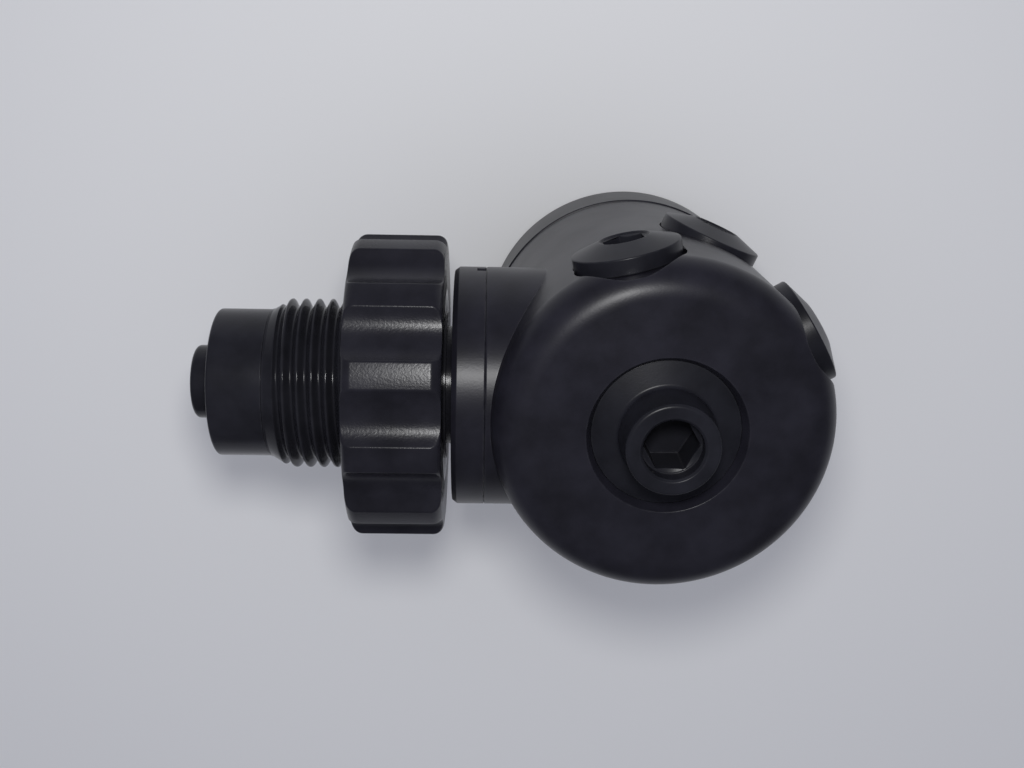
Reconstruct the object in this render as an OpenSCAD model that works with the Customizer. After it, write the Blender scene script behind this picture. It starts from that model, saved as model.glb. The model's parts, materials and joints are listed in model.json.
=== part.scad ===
// Diving regulator first stage with a screw-in cylinder connector.
// Stands on its flat rear face: origin at the centre of that face, barrel axis along +Z,
// connector along -X. All lengths in millimetres.

/* [Barrel] */
// Radius of the barrel
barrel_r = 21.5; // [21.3:0.1:22.5]
// Height from the rear face to the front face
barrel_h = 57; // [56.8:0.1:57.4]
// Radius of the rounded front edge
edge_r = 4.5; // [3.5:0.1:5]
// Height of the rear cap ring
rear_cap_h = 10; // [9:0.1:11]
// Radius of the dished recess in the front face
dish_r = 9.9; // [9.7:0.1:10.5]
// Depth of the dished recess
dish_depth = 1.4; // [1:0.1:1.6]

/* [Connector] */
// Height of the connector axis
connector_z = 37.1; // [37:0.1:37.6]
// Radius of the neck that carries the connector
neck_r = 16.1; // [15.5:0.1:16.2]
// Distance from the barrel axis to the seam between neck and collar
neck_face = 22.2; // [22:0.1:22.6]
// Distance from the barrel axis to the outer face of the collar
collar_face = 26.4; // [26:0.1:26.8]
// Outside diameter of the connector thread
thread_d = 22.911; // [22.8:0.01:22.95]
// Pitch of the connector thread
thread_pitch = 1.814; // [1.8:0.001:1.82]
// Radius of the nose in front of the thread
nose_r = 9.95; // [9.8:0.05:10]
// Distance from the barrel axis to the front of the nose
nose_front = 58; // [57.8:0.1:58.4]
// Radius of the tip
tip_r = 4.95; // [4.8:0.05:5]
// Length of the tip
tip_len = 3.2; // [3:0.1:3.4]

/* [Handwheel] */
// Outside radius of the handwheel
wheel_r = 20.3; // [19.5:0.1:20.4]
// Distance from the barrel axis to the inner face of the handwheel
wheel_back = 27.5; // [27.3:0.1:27.8]
// Width of the handwheel
wheel_w = 12.2; // [12:0.1:12.6]
// Number of flutes
flutes = 12; // [10:1:14]
// Radius of each flute
flute_r = 5.4; // [5:0.1:6]
// Depth of each flute
flute_depth = 1.6; // [1.2:0.1:2]

/* [Ports] */
// Height of the two low pressure ports on the +Y side
low_z = 46.7; // [46.5:0.1:47]
// Height of the two low pressure ports on the -Y side
low_far_z = 44.7; // [44.5:0.1:47]
// Height of the two high pressure ports
high_z = 31.7; // [31.5:0.1:32]
// Distance from the barrel axis to the low pressure seats
low_seat = 19.7; // [19.5:0.1:19.9]
// Distance from the barrel axis to the high pressure seats
high_seat = 20; // [19.8:0.1:20.2]
// Radius of a port plug's head
plug_r = 6.9; // [6.7:0.1:7]
// Height of the straight side of a plug's head
plug_side = 2.1; // [1.8:0.1:2.3]
// Height of the cone on a plug's head
plug_cone = 1.2; // [1:0.1:1.4]
// Width across flats of the plug sockets
plug_key = 5; // [4:0.5:5]

/* [Hidden] */
$fn = 96;
gap = 0.05;
slack = 0.02;
over = 1;

// Low pressure ports on both sides of the barrel, then high pressure ports
low_angles = [103.3, 30.5, -30.5, -103.3];
low_heights = [low_z, low_z, low_far_z, low_far_z];
high_angles = [67.3, -67.3];
low_shank_r = 4.72;
high_shank_r = 5.5;
low_well_in = 10.5;
high_well_in = 14.2;
plug_end_gap = 1.2;
spot_r = 9.4;
high_spot_r = 7.6;
ring_w = 1.5;

// Chambers inside the barrel, from the rear
cap_bore_r = 17.5;
ledge_z = 24;
low_chamber_r = 12.9;
low_chamber_top = 28;
partition_top = 32;
high_chamber_r = 7;
high_chamber_top = 46;
plug_thread_r = 8;
plug_flange_r = 9.2;
plug_flange_z = 53;
dish_floor = barrel_h - dish_depth;
gallery_at = 11.4;
gallery_r = 1.4;

// Spring side
diaphragm_t = 1.6;
diaphragm_r = 17.3;
clamp_t = 0.5;
clamp_in_r = 12.6;
clamp_z = ledge_z - diaphragm_t - clamp_t;
plate_r = 11;
plate_t = 2.4;
plate_z = ledge_z - diaphragm_t - plate_t;
screw_bore_r = 12.05;
screw_r = 12;
screw_z = 2;
screw_h = 5;
screw_key = 10;
washer_t = 0.8;
spring_z = screw_z + screw_h + washer_t;
spring_r = 9.2;
spring_wire = 2.4;
spring_turns = 3.25;

// Valve
orifice_r = 5;
orifice_rim_z = partition_top + 1.6;
orifice_bore_r = 1.5;
lift = 0.8;
seat_z = orifice_rim_z + lift;
lifter_r = 8.5;
lifter_t = 1.2;
pin_r = 0.9;
poppet_r = 4.6;
poppet_h = 4.1;
stem_r = 2;
stem_top = 50;
small_wire = 0.9;
small_spring_r = 3.4;
small_turns = 4.75;

// Balance plug
boss_base_r = 6.2;
boss_r = 5.7;
boss_top = 61.9;
boss_foot_z = 57.4;
boss_round = 0.6;
boss_hole_r = 3.7;
boss_hole_depth = 2;
boss_key = 6;
socket_floor = 54.5;

// Connector
shank_r = 8;
spigot_r = 6;
spigot_in = 12.6;
air_r = 2.5;
nose_back = 51.1;
sleeve_front = 50.8;
sleeve_lip_r = 10.05;
hub_r = 13;
hub_front = 37.5;
thread_depth = 1.16;
crest_w = 0.32;
first_crest = 49.9;
crests = 7;
filter_r = 3.4;
filter_depth = 3.4;
filter_in = nose_front + tip_len - filter_depth;
face_ring_r = 1.3;

LOW_NAMES = ["low_port_plug_1", "low_port_plug_2", "low_port_plug_3", "low_port_plug_4"];
LOW_RINGS = ["low_port_ring_1", "low_port_ring_2", "low_port_ring_3", "low_port_ring_4"];
HIGH_NAMES = ["high_port_plug_1", "high_port_plug_2"];
HIGH_RINGS = ["high_port_ring_1", "high_port_ring_2"];

// ---- helpers ---------------------------------------------------------------------------

// Local +Z runs outward along a port
module at_port(angle, height) {
    rotate([0, 0, angle])
        translate([0, 0, height])
            rotate([0, 90, 0])
                children();
}

// Local +Z runs from the barrel axis out through the connector, local +X is up
module along_connector() {
    translate([0, 0, connector_z])
        rotate([0, -90, 0])
            children();
}

module tube(r_out, r_in, z0, z1) {
    translate([0, 0, z0])
        difference() {
            cylinder(r = r_out, h = z1 - z0);
            translate([0, 0, -over])
                cylinder(r = r_in, h = z1 - z0 + 2 * over);
        }
}

module rod(r, z0, z1) {
    translate([0, 0, z0])
        cylinder(r = r, h = z1 - z0);
}

// Hexagonal hole, sized across its flats
module hex_hole(across, z0, z1) {
    translate([0, 0, z0])
        cylinder(d = across / cos(30), h = z1 - z0, $fn = 6);
}

// Round sealing ring lying in a plane across the axis
module sealing_ring(mean_r, cord_r, z) {
    translate([0, 0, z])
        rotate_extrude()
            translate([mean_r, 0])
                circle(r = cord_r, $fn = 32);
}

// Points of a quarter circle about c, from angle a0 to a1
function arc(c, r, a0, a1, steps = 8) =
    [for (i = [0:steps]) c + r * [cos(a0 + (a1 - a0) * i / steps), sin(a0 + (a1 - a0) * i / steps)]];

// Wound spring: one unbroken round wire whose ends stand square for one wire diameter
SIDES = 6;
RINGS = 8;
function helix_point(r, z0, z1, turns, t) =
    [r * cos(360 * turns * t), r * sin(360 * turns * t), z0 + (z1 - z0) * t];
function unit(v) = v / norm(v);
function coil_path(r, z0, z1, turns, wire) =
    let (steps = round(turns * RINGS),
         first = helix_point(r, z0, z1, turns, 0),
         last = helix_point(r, z0, z1, turns, 1),
         out0 = [0, -1, 0],
         out1 = [-sin(360 * turns), cos(360 * turns), 0])
    concat([first + wire * out0],
           [for (i = [0:steps]) helix_point(r, z0, z1, turns, i / steps)],
           [last + wire * out1]);
function path_dir(path, i) =
    let (n = len(path))
    unit(path[min(i + 1, n - 1)] - path[max(i - 1, 0)]);
function ring_points(path, i, wire) =
    let (d = path_dir(path, i),
         side = unit(cross(d, [0, 0, 1])),
         up = cross(side, d))
    [for (k = [0:SIDES - 1])
        path[i] + wire / 2 * (cos(360 * k / SIDES) * side + sin(360 * k / SIDES) * up)];

module wound_spring(r, z0, z1, turns, wire) {
    path = coil_path(r, z0 + wire / 2, z1 - wire / 2, turns, wire);
    n = len(path);
    points = [for (i = [0:n - 1]) each ring_points(path, i, wire)];
    walls = [for (i = [0:n - 2], k = [0:SIDES - 1])
        let (a = i * SIDES + k, b = i * SIDES + (k + 1) % SIDES)
        each [[a, b, b + SIDES], [a, b + SIDES, a + SIDES]]];
    start_cap = [for (k = [1:SIDES - 2]) [0, k + 1, k]];
    end_cap = [for (k = [1:SIDES - 2]) (n - 1) * SIDES * [1, 1, 1] + [0, k, k + 1]];
    echo("least gap between turns", (z1 - z0 - wire) / turns - wire);
    polyhedron(points = points, faces = concat(walls, start_cap, end_cap));
}

// ---- barrel ----------------------------------------------------------------------------

module barrel_solid() {
    rotate_extrude()
        polygon(concat([[0, rear_cap_h], [barrel_r, rear_cap_h]],
                       arc([barrel_r - edge_r, barrel_h - edge_r], edge_r, 0, 90),
                       [[0, barrel_h]]));
}

module neck_solid() {
    along_connector()
        rod(neck_r, 8, neck_face);
}

module port_cut(angle, height, seat, shank_r, well_in, spot) {
    at_port(angle, height) {
        rod(spot, seat, barrel_r + 4);
        rod(shank_r + ring_w, seat - ring_w, seat + over);
        rod(shank_r + gap, well_in, seat);
    }
}

module body() {
    color([0.10, 0.10, 0.11])
        difference() {
            union() {
                barrel_solid();
                neck_solid();
            }
            // rear bore, low pressure chamber, partition hole, high pressure chamber
            rod(cap_bore_r, rear_cap_h - over, ledge_z);
            rod(low_chamber_r, ledge_z - over, low_chamber_top);
            rod(orifice_r + slack, low_chamber_top - over, partition_top + over);
            rod(high_chamber_r, partition_top, high_chamber_top + over);
            // front bore for the balance plug and the dished recess
            rod(plug_thread_r + gap, high_chamber_top, plug_flange_z + over);
            rod(plug_flange_r + gap, plug_flange_z, barrel_h + over);
            translate([0, 0, dish_floor])
                cylinder(r1 = plug_flange_r + gap, r2 = dish_r, h = dish_depth);
            translate([0, 0, barrel_h])
                cylinder(r = dish_r, h = over);
            // connector bore
            along_connector() {
                rod(spigot_r + gap, spigot_in, neck_face + over);
                rod(air_r, high_chamber_r - over, spigot_in + over);
            }
            // ports, each with its passage
            for (i = [0:3]) {
                port_cut(low_angles[i], low_heights[i], low_seat, low_shank_r, low_well_in, spot_r);
                rotate([0, 0, low_angles[i]])
                    translate([gallery_at, 0, low_chamber_top - over])
                        cylinder(r = gallery_r, h = low_heights[i] - low_chamber_top - 2);
            }
            for (a = high_angles) {
                port_cut(a, high_z, high_seat, high_shank_r, high_well_in, high_spot_r);
                at_port(a, high_z + 3)
                    rod(1.4, high_chamber_r - over, high_well_in + over);
            }
        }
}

module rear_cap() {
    foot = 0.6;
    cap_r = barrel_r - 0.15;
    color([0.10, 0.10, 0.11])
        difference() {
            union() {
                rotate_extrude()
                    polygon([[0, 0], [cap_r - foot, 0], [cap_r, foot],
                             [cap_r, rear_cap_h - 0.25], [cap_r - 0.25, rear_cap_h], [0, rear_cap_h]]);
                rod(cap_bore_r - gap, rear_cap_h - over, clamp_z);
            }
            rod(screw_bore_r, -over, clamp_z + over);
            translate([0, 0, -slack])
                cylinder(r1 = screw_bore_r + 1, r2 = screw_bore_r, h = 1);
        }
}

// ---- connector -------------------------------------------------------------------------

module neck_collar() {
    notch_w = 1.6;
    notch_d = 0.7;
    color([0.10, 0.10, 0.11])
        along_connector()
            difference() {
                rotate_extrude()
                    polygon([[spigot_r + gap, neck_face + slack],
                             [neck_r - 0.25, neck_face + slack],
                             [neck_r, neck_face + 0.25],
                             [neck_r, collar_face - 0.65],
                             [neck_r - 0.5, collar_face],
                             [spigot_r + gap, collar_face]]);
                for (side = [-1, 1])
                    translate([-notch_w / 2, side * neck_r - notch_d, neck_face - over])
                        cube([notch_w, 2 * notch_d, 1.2 + over]);
            }
}

module din_stem() {
    groove_r = tip_r + 2 * face_ring_r;
    color([0.11, 0.11, 0.12])
        along_connector()
            difference() {
                union() {
                    rod(spigot_r, spigot_in + 0.6, collar_face + slack);
                    rod(shank_r, collar_face + slack, nose_back);
                    rotate_extrude()
                        polygon([[0, nose_back], [nose_r - 0.3, nose_back], [nose_r, nose_back + 0.3],
                                 [nose_r, nose_front - 0.4], [nose_r - 0.4, nose_front],
                                 [tip_r, nose_front], [tip_r, nose_front + tip_len - 0.6],
                                 [tip_r - 0.6, nose_front + tip_len], [0, nose_front + tip_len]]);
                }
                // face groove for the sealing ring
                tube(groove_r, tip_r, nose_front - 1.9, nose_front + 0.01);
                // air way and filter seat
                rod(air_r, spigot_in - over, nose_front + tip_len + over);
                rod(filter_r + slack, filter_in - 1, nose_front + tip_len + over);
                // seat of the inner sealing ring
                tube(spigot_r + over, spigot_r - 1.2, spigot_in + 1.8, spigot_in + 3.6);
            }
}

module stem_ring() {
    color([0.05, 0.05, 0.05])
        along_connector()
            sealing_ring(spigot_r - 0.6, 0.58, spigot_in + 2.7);
}

module din_face_ring() {
    color([0.05, 0.05, 0.05])
        along_connector()
            sealing_ring(tip_r + face_ring_r, face_ring_r - slack, nose_front - 1.9 + face_ring_r);
}

module din_filter() {
    color([0.62, 0.50, 0.33])
        along_connector()
            rod(filter_r, filter_in - 1, filter_in + 1.6);
}

module filter_clip() {
    color([0.6, 0.6, 0.62])
        along_connector()
            difference() {
                tube(filter_r, filter_r - 0.9, nose_front + tip_len - 1.8, nose_front + tip_len - 0.8);
                translate([0, -0.6, nose_front])
                    cube([filter_r + over, 1.2, tip_len]);
            }
}

// Threaded part: each crest is a flat ring between two sloping flanks
function crest_profile(at, root) =
    let (w = thread_pitch / 2 - 0.12, top = thread_d / 2)
    [[root, at + w], [top, at + crest_w / 2], [top, at - crest_w / 2], [root, at - w]];

module din_sleeve() {
    root = thread_d / 2 - thread_depth;
    back = wheel_back - 0.25;
    foot_r = 10;
    color([0.11, 0.11, 0.12])
        along_connector()
            rotate_extrude()
                polygon(concat(
                    [[shank_r + gap, sleeve_front - 0.4],
                     [shank_r + gap + 0.4, sleeve_front],
                     [sleeve_lip_r - 0.2, sleeve_front],
                     [sleeve_lip_r, sleeve_front - 0.2]],
                    [for (k = [0:crests - 1]) each crest_profile(first_crest - k * thread_pitch, root)],
                    [[root, hub_front], [hub_r, hub_front], [hub_r, wheel_back], [foot_r, wheel_back],
                     [foot_r, back], [shank_r + gap, back]]));
}

module handwheel() {
    round_r = 1.4;
    front = wheel_back + wheel_w;
    flute_at = wheel_r - flute_depth + flute_r;
    first_land = 20;
    mouth_r = thread_d / 2 + 0.15;
    color([0.09, 0.09, 0.10])
        along_connector()
            difference() {
                rotate_extrude()
                    polygon(concat([[mouth_r, wheel_back]],
                                   arc([wheel_r - round_r, wheel_back + round_r], round_r, -90, 0, 5),
                                   arc([wheel_r - round_r, front - round_r], round_r, 0, 90, 5),
                                   [[mouth_r, front]]));
                for (k = [0:flutes - 1])
                    rotate([0, 0, first_land + 360 * (k + 0.5) / flutes])
                        translate([flute_at, 0, wheel_back - over])
                            cylinder(r = flute_r, h = wheel_w + 2 * over);
                rod(hub_r + slack, wheel_back - over, hub_front + slack);
            }
}

// ---- ports -----------------------------------------------------------------------------

module port_plug(angle, height, seat, shank_r, well_in) {
    lip_out = 3.3;
    lip_h = 0.25;
    top = seat + plug_side + plug_cone;
    color([0.10, 0.10, 0.11])
        at_port(angle, height)
            difference() {
                rotate_extrude()
                    polygon([[0, well_in + plug_end_gap], [shank_r - 0.6, well_in + plug_end_gap],
                             [shank_r, well_in + plug_end_gap + 0.6], [shank_r, seat],
                             [plug_r - 0.25, seat], [plug_r, seat + 0.25],
                             [plug_r, seat + plug_side - 0.15], [plug_r - 0.15, seat + plug_side],
                             [lip_out, top - lip_h], [lip_out - 0.1, top], [0, top]]);
                hex_hole(plug_key, top - 3.6, top + over);
                translate([0, 0, top - 0.35])
                    cylinder(r1 = plug_key / 2, r2 = plug_key / 2 + 0.4, h = 0.36);
            }
}

module port_ring(angle, height, seat, shank_r) {
    cord_r = ring_w / 2 - slack;
    color([0.05, 0.05, 0.05])
        at_port(angle, height)
            sealing_ring(shank_r + ring_w / 2, cord_r, seat - ring_w / 2);
}

// ---- balance plug ----------------------------------------------------------------------

module balance_plug() {
    groove_z = 48.2;
    color([0.10, 0.10, 0.11])
        difference() {
            rotate_extrude()
                polygon(concat(
                    [[0, high_chamber_top], [plug_thread_r - 0.6, high_chamber_top],
                     [plug_thread_r, high_chamber_top + 0.6], [plug_thread_r, plug_flange_z - 2],
                     [plug_thread_r - 1.3, plug_flange_z - 2], [plug_thread_r - 1.3, plug_flange_z],
                     [plug_flange_r, plug_flange_z], [plug_flange_r, dish_floor - 0.2],
                     [boss_base_r, boss_foot_z], [boss_r, boss_top - boss_round]],
                    arc([boss_r - boss_round, boss_top - boss_round], boss_round, 0, 90, 4),
                    [[0, boss_top]]));
            rod(stem_r + gap, high_chamber_top - over, stem_top + lift + 1);
            tube(stem_r + 1.4, stem_r, groove_z - 0.7, groove_z + 0.7);
            rod(boss_hole_r, boss_top - boss_hole_depth, boss_top + over);
            translate([0, 0, boss_top - 0.3])
                cylinder(r1 = boss_hole_r, r2 = boss_hole_r + 0.35, h = 0.31);
            hex_hole(boss_key, socket_floor, boss_top - boss_hole_depth + over);
        }
}

module balance_ring() {
    color([0.05, 0.05, 0.05])
        sealing_ring(stem_r + gap + 0.66, 0.62, 48.2);
}

module plug_ring() {
    color([0.05, 0.05, 0.05])
        sealing_ring(plug_thread_r - 0.62, 0.64, plug_flange_z - 1);
}

// ---- valve -----------------------------------------------------------------------------

module orifice() {
    flange_r = 6.7;
    color([0.72, 0.60, 0.36])
        difference() {
            rotate_extrude()
                polygon([[0, low_chamber_top + 0.2], [orifice_r, low_chamber_top + 0.2],
                         [orifice_r, partition_top], [flange_r, partition_top],
                         [flange_r, partition_top + 0.8], [3.4, partition_top + 0.8],
                         [2.3, orifice_rim_z], [0, orifice_rim_z]]);
            rod(orifice_bore_r, low_chamber_top - over, orifice_rim_z + over);
            tube(orifice_r + over, orifice_r - 1, partition_top - 2.6, partition_top - 1);
        }
}

module orifice_ring() {
    color([0.05, 0.05, 0.05])
        sealing_ring(orifice_r - 0.48, 0.48, partition_top - 1.8);
}

module poppet_seat() {
    color([0.88, 0.88, 0.84])
        tube(3.6, 1.2, seat_z, seat_z + 1.2);
}

module poppet() {
    color([0.72, 0.60, 0.36])
        difference() {
            union() {
                rod(poppet_r, seat_z, seat_z + poppet_h);
                rod(stem_r, seat_z + poppet_h - over, stem_top);
            }
            tube(3.62, 1.18, seat_z - over, seat_z + 1.2);
            rod(0.5, seat_z - over, stem_top + over);
        }
}

module poppet_spring() {
    color([0.75, 0.75, 0.77])
        wound_spring(small_spring_r, seat_z + poppet_h, high_chamber_top, small_turns, small_wire);
}

module lifter() {
    color([0.72, 0.60, 0.36])
        union() {
            rod(lifter_r, ledge_z, ledge_z + lifter_t);
            rod(pin_r, ledge_z + lifter_t - 0.5, seat_z);
        }
}

module diaphragm() {
    color([0.06, 0.06, 0.06])
        rod(diaphragm_r, ledge_z - diaphragm_t, ledge_z);
}

module clamp_washer() {
    color([0.9, 0.9, 0.88])
        tube(diaphragm_r, clamp_in_r, clamp_z, clamp_z + clamp_t);
}

module spring_plate() {
    color([0.72, 0.60, 0.36])
        union() {
            rod(plate_r, plate_z, plate_z + plate_t);
            rod(spring_r - spring_wire / 2 - 1.1, plate_z - 2, plate_z + over);
        }
}

module main_spring() {
    color([0.75, 0.75, 0.77])
        wound_spring(spring_r, spring_z, plate_z, spring_turns, spring_wire);
}

module thrust_washer() {
    color([0.8, 0.8, 0.8])
        tube(screw_r - 0.4, screw_key / 2 + 0.9, screw_z + screw_h, screw_z + screw_h + washer_t);
}

module adjusting_screw() {
    color([0.11, 0.11, 0.12])
        difference() {
            rotate_extrude()
                polygon([[0, screw_z], [screw_r - 0.5, screw_z], [screw_r, screw_z + 0.5],
                         [screw_r, screw_z + screw_h - 0.5], [screw_r - 0.5, screw_z + screw_h],
                         [0, screw_z + screw_h]]);
            hex_hole(screw_key, screw_z - over, screw_z + screw_h + over);
        }
}

// ---- parts -----------------------------------------------------------------------------

body();
rear_cap();
neck_collar();
din_stem();
stem_ring();
din_sleeve();
handwheel();
din_face_ring();
din_filter();
filter_clip();
balance_plug();
plug_ring();
balance_ring();
poppet();
poppet_seat();
poppet_spring();
orifice();
orifice_ring();
lifter();
diaphragm();
clamp_washer();
spring_plate();
main_spring();
thrust_washer();
adjusting_screw();
for (i = [0:3]) {
    port_plug(low_angles[i], low_heights[i], low_seat, low_shank_r, low_well_in);
    port_ring(low_angles[i], low_heights[i], low_seat, low_shank_r);
}
for (i = [0:1]) {
    port_plug(high_angles[i], high_z, high_seat, high_shank_r, high_well_in);
    port_ring(high_angles[i], high_z, high_seat, high_shank_r);
}
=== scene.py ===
"""Looks of a diving regulator first stage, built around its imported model.

Lengths inside the classes are millimetres in the barrel's frame: the barrel stands along +Z on
its flat rear face, and the connector points along -X. A finished piece is scaled to metres.
"""

import json
import logging
import math
from dataclasses import dataclass
from enum import Enum
from typing import Any, Callable, Iterable, Optional, Sequence

import bmesh
import bpy
from mathutils import Matrix, Vector


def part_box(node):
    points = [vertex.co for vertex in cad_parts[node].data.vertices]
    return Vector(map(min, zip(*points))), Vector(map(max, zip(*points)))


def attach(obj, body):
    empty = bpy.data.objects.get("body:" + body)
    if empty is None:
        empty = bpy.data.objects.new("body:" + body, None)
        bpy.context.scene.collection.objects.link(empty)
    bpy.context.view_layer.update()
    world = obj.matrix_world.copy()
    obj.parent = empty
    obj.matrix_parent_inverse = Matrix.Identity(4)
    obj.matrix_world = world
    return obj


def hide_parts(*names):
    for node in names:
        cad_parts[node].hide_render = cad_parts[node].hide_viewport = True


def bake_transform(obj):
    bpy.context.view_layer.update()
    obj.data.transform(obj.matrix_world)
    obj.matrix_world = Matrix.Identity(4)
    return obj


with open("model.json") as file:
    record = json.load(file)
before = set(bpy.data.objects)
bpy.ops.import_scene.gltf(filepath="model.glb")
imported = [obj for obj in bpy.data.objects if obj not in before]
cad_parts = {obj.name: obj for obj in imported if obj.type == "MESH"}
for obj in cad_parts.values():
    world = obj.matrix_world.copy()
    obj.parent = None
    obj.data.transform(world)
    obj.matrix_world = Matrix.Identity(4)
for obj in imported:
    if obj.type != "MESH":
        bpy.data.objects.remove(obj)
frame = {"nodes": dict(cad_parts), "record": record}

LOG = logging.getLogger("first_stage")
MM = 0.001
FULL_TURN = 2 * math.pi
SOFT_ANGLE = math.radians(35)

Colour = tuple[float, float, float]
Corner = tuple[float, ...]


# ---- node trees ---------------------------------------------------------------------------


class Wiring:
    """Adds nodes to a node tree and links them by socket."""

    def __init__(self, tree: bpy.types.NodeTree) -> None:
        """Works on tree.

        Args:
            tree: the shader or geometry tree that gets the nodes.
        """
        self.tree = tree

    def add(self, kind: str, inputs: Optional[dict[Any, Any]] = None, **settings: Any) -> bpy.types.Node:
        """Adds one node.

        Args:
            kind: the node's type name.
            inputs: for each input's name or number, a constant or the socket that feeds it.
            **settings: the node's own properties, set before its inputs.

        Returns:
            The new node.
        """
        node = self.tree.nodes.new(kind)
        for name, value in settings.items():
            setattr(node, name, value)
        for key, value in (inputs or {}).items():
            socket = node.inputs[key]
            if isinstance(value, bpy.types.NodeSocket):
                self.tree.links.new(value, socket)
            else:
                socket.default_value = value
        return node

    def math(self, operation: str, *values: Any) -> bpy.types.NodeSocket:
        """Adds a Math node and returns its result.

        Args:
            operation: the Math node's operation.
            *values: numbers or sockets, in the node's order.

        Returns:
            The socket that holds the result.
        """
        return self.add("ShaderNodeMath", dict(enumerate(values)), operation=operation).outputs[0]

    def mix(self, share: Any, first: Any, second: Any) -> bpy.types.NodeSocket:
        """Adds a colour Mix node and returns its result.

        Args:
            share: how much of second shows, from 0 to 1.
            first: colour or socket.
            second: colour or socket.

        Returns:
            The socket that holds the mixed colour.
        """
        node = self.add("ShaderNodeMix", data_type="RGBA")
        for name, value in (("Factor_Float", share), ("A_Color", first), ("B_Color", second)):
            socket = next(s for s in node.inputs if s.identifier == name)
            if isinstance(value, bpy.types.NodeSocket):
                self.tree.links.new(value, socket)
            elif name == "Factor_Float":
                socket.default_value = value
            else:
                socket.default_value = (*value[:3], 1.0)
        return next(s for s in node.outputs if s.identifier == "Result_Color")

    def spread(self, value: Any, low: float, high: float) -> bpy.types.NodeSocket:
        """Maps a value from 0..1 to low..high and returns the result."""
        return self.math("MULTIPLY_ADD", value, high - low, low)


class Socket(Enum):
    """Kinds of sockets on a group's interface."""

    NUMBER = "NodeSocketFloat"
    WHOLE = "NodeSocketInt"
    VECTOR = "NodeSocketVector"
    COLOUR = "NodeSocketColor"
    GEOMETRY = "NodeSocketGeometry"
    MATERIAL = "NodeSocketMaterial"
    OBJECT = "NodeSocketObject"


def new_group(
    name: str, kind: str, inputs: Sequence[tuple[str, Socket]], outputs: Sequence[tuple[str, Socket]]
) -> tuple[Wiring, bpy.types.Node, bpy.types.Node]:
    """Makes a node group with a named interface.

    Args:
        name: the group's name.
        kind: ShaderNodeTree or GeometryNodeTree.
        inputs: name and kind of each input.
        outputs: name and kind of each output.

    Returns:
        The group's wiring, its input node and its output node.
    """
    tree = bpy.data.node_groups.new(name, kind)
    for in_out, sockets in (("INPUT", inputs), ("OUTPUT", outputs)):
        for socket_name, socket in sockets:
            tree.interface.new_socket(name=socket_name, in_out=in_out, socket_type=socket.value)
    wiring = Wiring(tree)
    return wiring, wiring.add("NodeGroupInput"), wiring.add("NodeGroupOutput")


# ---- effects shared by the finishes ---------------------------------------------------------


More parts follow.
